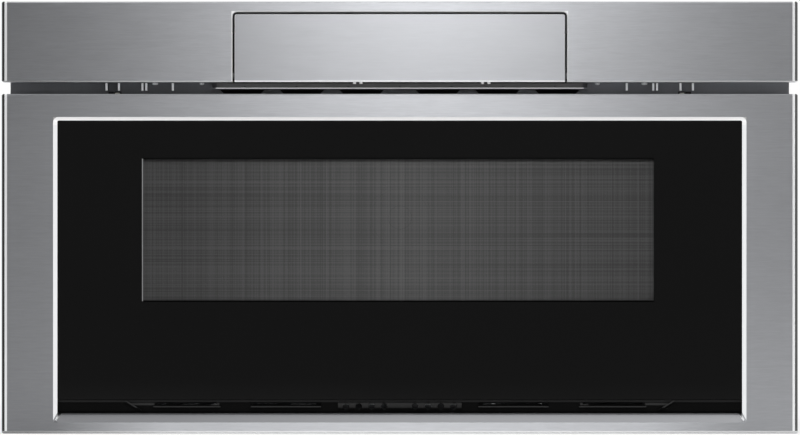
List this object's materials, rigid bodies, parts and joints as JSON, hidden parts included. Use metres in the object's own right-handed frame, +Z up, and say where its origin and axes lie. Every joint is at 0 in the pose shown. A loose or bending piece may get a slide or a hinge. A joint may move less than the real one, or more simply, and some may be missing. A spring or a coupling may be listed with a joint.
{
  "type": "microwave drawer",
  "caption": "Built-in microwave drawer with a stainless framed black glass front, a powered sliding tub and a swing-out control panel in its fascia.",
  "frame": {"origin": "on the chassis underside, at the middle of its width and depth, where it stands on the cabinet shelf", "axes": "+X to the right as seen from the front, -Y to the front (the drawer opens along -Y), +Z up"},
  "size_m": [0.759, 0.629, 0.4117],
  "materials": {
    "stainless": "horizontally brushed stainless sheet",
    "zinc_sheet": "galvanised sheet steel",
    "dark_sheet": "dark grey powder-coated sheet",
    "cavity_enamel": "grey epoxy-painted steel",
    "black_glass": "black printed tempered glass",
    "ceramic_glass": "glass-ceramic plate",
    "black_plastic": "black moulded plastic",
    "white_plastic": "natural acetal",
    "screen_sheet": "perforated steel screen, black",
    "rubber": "black rubber",
    "motor_steel": "plated motor case",
    "copper": "enamelled winding wire",
    "aluminium": "plain aluminium",
    "board_green": "printed circuit board",
    "bright_steel": "zinc-plated steel"
  },
  "bodies": {
    "chassis": {"base_pan": "zinc_sheet", "left_side_panel": "zinc_sheet", "right_side_panel": "zinc_sheet", "back_panel": "zinc_sheet", "power_inlet": "black_plastic", "top_cover": "zinc_sheet", "front_frame": "zinc_sheet", "cavity_box": "cavity_enamel", "waveguide": "zinc_sheet", "magnetron": "aluminium", "oven_lamp": "white_plastic", "fan_shroud": "black_plastic", "fan_motor": "motor_steel", "transformer_core": "motor_steel", "transformer_coils": "copper", "hv_capacitor": "aluminium", "power_board": "board_green", "stirrer_motor": "motor_steel", "slide_outer_left": "bright_steel", "slide_outer_right": "bright_steel", "rail_supports": "zinc_sheet", "drive_motor": "motor_steel", "bearing_brackets": "zinc_sheet", "interlock_switches": "black_plastic", "fascia": "stainless", "fascia_brackets": "zinc_sheet", "control_tray": "zinc_sheet", "flap_motor": "motor_steel", "chassis_screws": "bright_steel", "fascia_screws": "bright_steel"},
    "drawer": {"drawer_frame": "stainless", "door_glass": "black_glass", "window_screen": "screen_sheet", "door_pan": "dark_sheet", "choke_cover": "black_plastic", "lower_vent": "black_plastic", "drawer_tub": "cavity_enamel", "tub_floor": "ceramic_glass", "bumpers": "rubber", "door_screws": "bright_steel", "latch_hooks": "white_plastic", "rail_bracket_left": "zinc_sheet", "rail_bracket_right": "zinc_sheet", "slide_inner_left": "bright_steel", "slide_inner_right": "bright_steel", "drive_racks": "white_plastic"},
    "slide_member_left": {"slide_middle_left": "bright_steel"},
    "slide_member_right": {"slide_middle_right": "bright_steel"},
    "cross_shaft": {"drive_shaft": "bright_steel", "shaft_pinions": "white_plastic", "drive_gear": "white_plastic"},
    "motor_output": {"motor_pinion": "bright_steel"},
    "control_module": {"flap_skin": "stainless", "control_housing": "black_plastic", "touch_glass": "black_glass", "display_board": "board_green", "hinge_pins": "bright_steel", "flap_screws": "bright_steel"},
    "stirrer": {"stirrer_antenna": "aluminium"},
    "fan": {"fan_impeller": "black_plastic"}
  },
  "joints": [
    {"name": "drawer_slide", "type": "slide", "parent": "chassis", "child": "drawer", "axis": [0, -1, 0], "range_m": [0, 0.38]},
    {"name": "left_middle_slide", "type": "slide", "parent": "chassis", "child": "slide_member_left", "axis": [0, -1, 0], "range_m": [0, 0.19]},
    {"name": "right_middle_slide", "type": "slide", "parent": "chassis", "child": "slide_member_right", "axis": [0, -1, 0], "range_m": [0, 0.19]},
    {"name": "cross_shaft_spin", "type": "hinge", "parent": "chassis", "child": "cross_shaft", "pos_m": [0, -0.255, 0.044], "axis": [1, 0, 0], "range_deg": [-10, 1570]},
    {"name": "motor_pinion_spin", "type": "hinge", "parent": "chassis", "child": "motor_output", "pos_m": [0.15, -0.219, 0.044], "axis": [1, 0, 0], "range_deg": [-3140, 20]},
    {"name": "control_tilt", "type": "hinge", "parent": "chassis", "child": "control_module", "pos_m": [0, -0.33, 0.327], "axis": [1, 0, 0], "range_deg": [0, 90]},
    {"name": "stirrer_spin", "type": "hinge", "parent": "chassis", "child": "stirrer", "pos_m": [0, -0.02, 0.073], "axis": [0, 0, 1], "continuous": true},
    {"name": "fan_spin", "type": "hinge", "parent": "chassis", "child": "fan", "pos_m": [-0.23, 0.27, 0.205], "axis": [0, 1, 0], "continuous": true}
  ],
  "couplings": [
    {"joint": "left_middle_slide", "follows": "drawer_slide", "ratio": 0.5},
    {"joint": "right_middle_slide", "follows": "drawer_slide", "ratio": 0.5},
    {"joint": "cross_shaft_spin", "follows": "drawer_slide", "rad_per_m": 71.429},
    {"joint": "motor_pinion_spin", "follows": "drawer_slide", "rad_per_m": -142.86}
  ]
}
